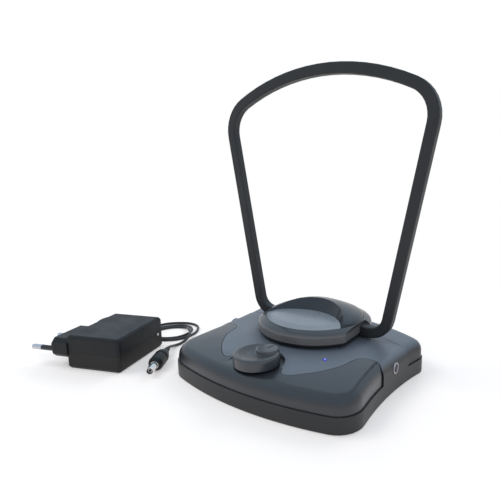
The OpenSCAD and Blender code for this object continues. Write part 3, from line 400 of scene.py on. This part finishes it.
def glowing(name, colour, glow, strength):
    f = Finish(name, Roughness=0.15, IOR=clear["ior"], **{"Emission Strength": strength})
    core = f.spread(f.noise(clear["cloud"], 2), 0.0, 1.0)
    return f.drive(colour=f.mix(core, tinted(colour, 0.9), colour), glow=f.mix(core, tinted(glow, 0.9), glow),
                   rough=f.spread(core, *clear["rough"]))


# status lamp: pale in the middle, deep blue where the pipe meets the cover
statusLamp = {"pale": (0.42, 0.47, 0.85), "ring": (0.008, 0.012, 0.62), "paleWide": 0.00075, "glow": 0.35}


def ringedLamp(name):
    f = Finish(name, Roughness=0.15, IOR=clear["ior"], **{"Emission Strength": statusLamp["glow"]})
    low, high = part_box("light_pipe")
    middle = ((low[0] + high[0]) / 2, (low[1] + high[1]) / 2, 0)
    flat = f.node("ShaderNodeVectorMath", {"operation": "MULTIPLY"}, {0: f.where, 1: (1, 1, 0)})
    away = f.node("ShaderNodeVectorMath", {"operation": "DISTANCE"}, {0: flat, 1: middle}, "Value")
    colour = f.mix(away > statusLamp["paleWide"], statusLamp["pale"], statusLamp["ring"])
    return f.drive(colour=colour, glow=colour, rough=f.spread(f.noise(clear["cloud"], 2), *clear["rough"]))


ringFoot, ringTop = (corner[2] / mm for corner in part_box("turntable_ring"))
print("ring from", round(ringFoot, 2), "to", round(ringTop, 2), "mm")

# the ring's side is painted paler than its top, a painted reflection of the floor, and its foot is painted
# black, a painted shadow of the gap under it
ring = {
    "top": {"colour": (0.046, 0.048, 0.052), "rough": 0.42, "coat": 0.5, "coatRough": 0.06},
    "side": {"colour": (0.140, 0.131, 0.131), "rough": 0.42, "coat": 0.4},
    "edge": (ringTop - 3.5, ringTop - 1.5),
    "foot": {"below": ringFoot + 2.0, "colour": (0.003, 0.003, 0.004)},
}
# the housing's top is painted paler and bluer than its sides, a painted reflection of the sky, and its sides
# darker and warmer, painted shade
housing = {
    "top": {"colour": (0.134, 0.153, 0.180), "rough": 0.4, "coat": 0.05, "coatRough": 0.25},
    "side": {"colour": (0.028, 0.0273, 0.0273), "rough": 0.42, "coat": 0.0},
    "edge": (19, 24),
}
finishes = {
    "gloss": litAndShadedTones("ringBlack", ring["top"], ring["side"], ring["edge"], 0.3, ring["foot"]),
    "band": litAndShadedTones("bandBlack", housing["top"], housing["side"], housing["edge"], 0.36),
    "dome": moulded("domeBlack", (0.022, 0.026, 0.033), 0.38, 900, 0.00001, 0.02,
                    coat=0.4, coatRough=0.06, shine=0.25),
    # the lens plate's pale colour is a painted reflection of the bright room
    "lens": moulded("paleLensPaintedReflection", (0.215, 0.238, 0.262), 0.3, 900, 0.00001, 0.01,
                    coat=0.3, coatRough=0.15, shine=0.4),
    "knob": moulded("knobBlack", (0.040, 0.043, 0.049), 0.34, 1200, 0.00001, 0.01,
                    coat=0.4, coatRough=0.24),
    "satin": moulded("satinBlack", (0.016, 0.018, 0.022), 0.32, 2600, 0.00001, 0.03,
                     coat=0.4, coatRough=0.24),
    "loop": moulded("loopGrey", (0.018, 0.019, 0.021), 0.5, 3400, 0.00006, shine=0.4, dust=0.02),
    "plate": moulded("plateGrey", (0.030, 0.029, 0.029), 0.5, 2800, 0.00006, 0.35),
    "adapterTop": moulded("adapterGreyUpper", (0.010, 0.011, 0.013), 0.46, 2800, 0.00005,
                          shine=0.27, dust=0.015),
    "adapterBottom": moulded("adapterGreyLower", (0.0145, 0.013, 0.012), 0.48, 2800, 0.00005,
                             shine=0.3, dust=0.015),
    "rubber": moulded("footRubber", (0.020, 0.020, 0.021), 0.7, 1800, 0.00008, 0.4),
    "cord": moulded("leadSheath", (0.014, 0.014, 0.016), 0.34, 2400, 0.00004, 0.25),
    "sleeve": moulded("sleeveBlack", (0.012, 0.012, 0.013), 0.32, 2400, 0.00003, 0.2),
    "white": moulded("whiteNylon", (0.72, 0.72, 0.68), 0.4, 1600, 0.00004, 0.2),
    "nickel": metal("nickelPlate", (0.72, 0.71, 0.69), 0.16, 0.03),
    "pins": metal("pinPlate", (0.56, 0.56, 0.60), 0.36, 0.04),
    "socket": metal("socketPlate", (0.46, 0.43, 0.45), 0.55, 0.05),
    "steel": metal("zincSteel", (0.60, 0.60, 0.61), 0.30, 0.06),
    "tin": metal("tinPlate", (0.66, 0.66, 0.67), 0.33, 0.05),
    "brass": metal("contactBrass", (0.78, 0.60, 0.30), 0.25, 0.04),
    "aluminium": metal("drawnAluminium", (0.74, 0.74, 0.75), 0.28, 0.06),
    "board": boardFinish("boardGreen", (0.012, 0.11, 0.045), (0.02, 0.19, 0.08), (0.6, 0.58, 0.5)),
    "winding": banded("enamelledWire", (0.62, 0.25, 0.09), (0.22, 0.08, 0.03), 420.0, 0.6,
                      waver=0.6, detail=1.0, rough=(0.5, 0.3), relief=(0.7, 0.0003)),
    "core": banded("coreSheets", (0.30, 0.30, 0.31), (0.09, 0.09, 0.09), 300.0, 0.8,
                   waver=0.1, detail=0.0, rough=(0.6, 0.4), relief=(0.5, 0.0002)),
    "blue": ringedLamp("blueLamp"),
    "pale": glowing("paleLamp", (0.60, 0.60, 0.59), (0.30, 0.30, 0.29), 0.4),
}
print("finishes ready")

# which solids wear which finish
wearers = {
    "band": ["main_housing", "rear_cover"],
    "satin": ["front_cover"],
    "plate": ["base_plate", "swivel_hub"],
    "rubber": ["rubber_feet"],
    "steel": ["base_screws", "board_screws", "control_nut", "gain_shaft", "swivel_clip",
              "turntable_screws", "pivot_pins", "pivot_clips"],
    "board": ["circuit_board", "rectifier_board"],
    "tin": ["shield_can", "gain_control"],
    "knob": ["gain_knob"],
    "socket": ["power_inlet", "inlet_pin"],
    "nickel": ["coax_sleeve", "plug_barrel"],
    "white": ["coax_insulator", "swivel_washer", "pivot_washers"],
    "brass": ["coax_contact", "contact_springs"],
    "blue": ["status_led", "light_pipe"],
    "gloss": ["turntable_ring"],
    "dome": ["turntable_cap"],
    "lens": ["lens_plate"],
    "loop": ["loop_front_shell", "loop_rear_shell"],
    "aluminium": ["loop_conductor"],
    "adapterBottom": ["adapter_lower_case"],
    "adapterTop": ["adapter_upper_case", "adapter_neck", "plug_grip"],
    "pins": ["mains_pins", "barrel_contact"],
    "sleeve": ["pin_sleeves", "cord_relief", "barrel_insulator"],
    "pale": ["adapter_led"],
    "core": ["transformer_core"],
    "winding": ["transformer_winding"],
}
for finish, wearing in wearers.items():
    for node in wearing:
        mesh = nodes[node].data
        mesh.materials.clear()
        mesh.materials.append(finishes[finish])
print("solids finished")

powerLead.data.materials.append(finishes["cord"])
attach(powerLead, "base")
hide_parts("cord_exit", "cord_coil", "power_cord")


# pieces that keep a solid's form get their moulded edges here: sizes in mm, angles in degrees
softened = {
    "main_housing": {"round": 0.35, "sharp": 30},
    "front_cover": {"round": 0.35, "sharp": 30},
    "rear_cover": {"round": 0.35, "sharp": 30},
    "gain_knob": {"skin": 0.3, "smooth": 5},
    "turntable_ring": {"round": 0.3, "sharp": 30},
    "turntable_cap": {"round": 0.35, "sharp": 30},
    "lens_plate": {"round": 0.6, "sharp": 30, "flat": True},
    "loop_front_shell": {"round": 0.12, "sharp": 35},
    "loop_rear_shell": {"round": 0.12, "sharp": 35},
    "adapter_lower_case": {"round": 0.4, "sharp": 28},
    "adapter_upper_case": {"round": 0.4, "sharp": 28},
    "adapter_neck": {"round": 0.5, "sharp": 28, "rootIn": 2.0, "near": 0.2},
    "plug_grip": {"round": 0.25, "sharp": 30},
    "rubber_feet": {"round": 0.3, "sharp": 30},
    "power_inlet": {"round": 0.15, "sharp": 30},
    "coax_sleeve": {"round": 0.15, "sharp": 30},
}


# points closer than this, in mm, are merged, and so are faces flatter than this, in degrees
merging = {"closer": 0.002, "flatter": 0.5}


# a copy of the solid's mesh, with doubled points and needless edges taken out
def cleanMesh(node, settings):
    mesh = nodes[node].data.copy()
    bm = bmesh.new()
    bm.from_mesh(mesh)
    bmesh.ops.remove_doubles(bm, verts=bm.verts, dist=merging["closer"] * mm)
    if "flat" not in settings:
        bmesh.ops.dissolve_limit(bm, angle_limit=radians(merging["flatter"]), verts=bm.verts, edges=bm.edges)
    if "rootIn" in settings:    # carries the neck's root on into the case's rounded corner
        inwards = inAdapter(settings["rootIn"], 0, 0) - inAdapter(0, 0, 0)
        face = -adapter["wide"]
        root = [v for v in bm.verts if abs(alongAdapter(v.co / mm) - face) < settings["near"]]
        bmesh.ops.translate(bm, verts=root, vec=inwards * mm)
    bm.to_mesh(mesh)
    bm.free()
    return mesh


# an even skin, which suits a scooped form
def growSkin(piece, settings):
    skin = piece.modifiers.new("skin", "REMESH")
    skin.mode = "VOXEL"
    skin.voxel_size = settings["skin"] * mm
    skin.use_smooth_shade = True
    calm = piece.modifiers.new("calm", "SMOOTH")
    calm.factor = 0.5
    calm.iterations = settings["smooth"]


def roundEdges(piece, settings):
    edge = piece.modifiers.new("edges", "BEVEL")
    edge.width = settings["round"] * mm
    edge.segments = 2
    edge.profile = 0.5
    edge.limit_method = "ANGLE"
    edge.angle_limit = radians(settings["sharp"])
    edge.use_clamp_overlap = True
    even = piece.modifiers.new("even", "WEIGHTED_NORMAL")
    even.keep_sharp = True


def softenedCopy(node, settings):
    mesh = cleanMesh(node, settings)
    piece = bpy.data.objects.new(node + "_moulded", mesh)
    bpy.context.scene.collection.objects.link(piece)
    if "skin" in settings:
        growSkin(piece, settings)
    else:
        if "flat" not in settings:
            mesh.shade_smooth()
        roundEdges(piece, settings)
    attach(piece, nodes[node]["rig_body"])
    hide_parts(node)
    return piece


mouldedPieces = {node: softenedCopy(node, settings) for node, settings in softened.items()}
print("moulded pieces:", len(mouldedPieces))


# stage and light: the floor keeps the shadow near the object and runs out into plain white further off
stage = {
    "floor": (0.93, 0.85, 0.79),
    "size": 12.0,
    "lift": (0.31, 0.30, 0.30),    # what the camera and mirrored rays see added to the floor
    "middle": (-0.06, -0.03, 0),
    "fadeFrom": 0.30,
    "fadeTo": 0.55,
    "worldLow": (0.90, 0.86, 0.84),
    "worldHigh": (0.68, 0.84, 1.0),
    "highFrom": 0.5,
    "world": 0.62,
    "glossy": 1.0,
}


def lightPath(f, *kinds):
    total = None
    for kind in kinds:
        ray = f.node("ShaderNodeLightPath", {}, {}, kind)
        if total is None:
            total = ray
        else:
            total = f.node("ShaderNodeMath", {"operation": "MAXIMUM"}, {0: total, 1: ray})
    return total


def makeFloor():
    bm = bmesh.new()
    bmesh.ops.create_grid(bm, x_segments=1, y_segments=1, size=stage["size"] / 2)
    mesh = bpy.data.meshes.new("floor")
    bm.to_mesh(mesh)
    bm.free()
    ground = bpy.data.objects.new("floor", mesh)
    bpy.context.scene.collection.objects.link(ground)
    f = Finish("paleFloor", Roughness=0.6, **{"Specular IOR Level": 0.2, "Emission Strength": 1.0})
    seen = lightPath(f, "Is Camera Ray", "Is Glossy Ray", "Is Transmission Ray")
    away = f.node("ShaderNodeVectorMath", {"operation": "DISTANCE"},
                  {0: f.where, 1: stage["middle"]}, "Value")
    far = f.node("ShaderNodeMapRange", {"interpolation_type": "SMOOTHSTEP"},
                 {"Value": away, "From Min": stage["fadeFrom"], "From Max": stage["fadeTo"]})
    f.set(f.shader, {"Base Color": stage["floor"], "Emission Color": f.mix(seen, (0, 0, 0), stage["lift"])})
    white = f.tree.nodes.new("ShaderNodeEmission")
    either = f.tree.nodes.new("ShaderNodeMixShader")
    f.set(either, {0: seen * far})
    f.tree.links.new(f.shader.outputs[0], either.inputs[1])
    f.tree.links.new(white.outputs[0], either.inputs[2])
    output = next(n for n in f.tree.nodes if n.type == "OUTPUT_MATERIAL")
    f.tree.links.new(either.outputs[0], output.inputs[0])
    mesh.materials.append(f.material)


# a pale room: plain white where the camera sees it, a little darker as light than as a mirrored room
def makeWorld():
    world = bpy.data.worlds.new("studio")
    bpy.context.scene.world = world
    world.use_nodes = True
    tree = world.node_tree
    back = next(n for n in tree.nodes if n.type == "BACKGROUND")

    def link(kind, settings, inputs, out=0):
        node = tree.nodes.new(kind)
        for key, value in settings.items():
            setattr(node, key, value)
        for key, value in inputs.items():
            if isinstance(value, bpy.types.NodeSocket):
                tree.links.new(value, node.inputs[key])
            else:
                node.inputs[key].default_value = value
        return node.outputs[out]

    rays = tree.nodes.new("ShaderNodeLightPath")
    up = link("ShaderNodeSeparateXYZ", {}, {0: link("ShaderNodeTexCoord", {}, {}, "Generated")}, "Z")
    high = link("ShaderNodeMapRange", {}, {"Value": up, "From Min": 0.0, "From Max": stage["highFrom"]})
    low, top = (*stage["worldLow"], 1), (*stage["worldHigh"], 1)
    sky = link("ShaderNodeMix", {"data_type": "RGBA"}, {0: high, 6: low, 7: top}, 2)
    plain = link("ShaderNodeMath", {"operation": "MAXIMUM"},
                 {0: rays.outputs["Is Camera Ray"], 1: rays.outputs["Is Transmission Ray"]})
    shown = link("ShaderNodeMix", {"data_type": "RGBA"}, {0: plain, 6: sky, 7: (1, 1, 1, 1)}, 2)
    tree.links.new(shown, back.inputs["Color"])
    levels = {"Value": rays.outputs["Is Glossy Ray"], "To Min": stage["world"], "To Max": stage["glossy"]}
    mirrored = link("ShaderNodeMapRange", {}, levels)
    level = link("ShaderNodeMath", {"operation": "MAXIMUM"}, {0: plain, 1: mirrored})
    tree.links.new(level, back.inputs["Strength"])


def softbox(name, place, towards, size, power):
    data = bpy.data.lights.new(name, "AREA")
    data.shape = "RECTANGLE"
    data.size, data.size_y = size
    data.energy = power
    lamp = bpy.data.objects.new(name, data)
    bpy.context.scene.collection.objects.link(lamp)
    lamp.location = place
    lamp.visible_glossy = False    # only the pale room is mirrored in the mouldings
    lamp.rotation_euler = (Vector(towards) - Vector(place)).to_track_quat("-Z", "Y").to_euler()


makeFloor()
makeWorld()
softbox("keyBox", (-0.9, -0.5, 1.3), (0, 0, 0.05), (0.9, 0.7), 7)
softbox("fillBox", (1.2, -0.7, 0.9), (0, 0, 0.08), (0.8, 0.8), 3)
softbox("backBox", (0.1, 1.1, 1.1), (0, 0, 0.08), (1.0, 0.5), 4)
bpy.context.scene.view_settings.view_transform = "Standard"
print("stage ready")
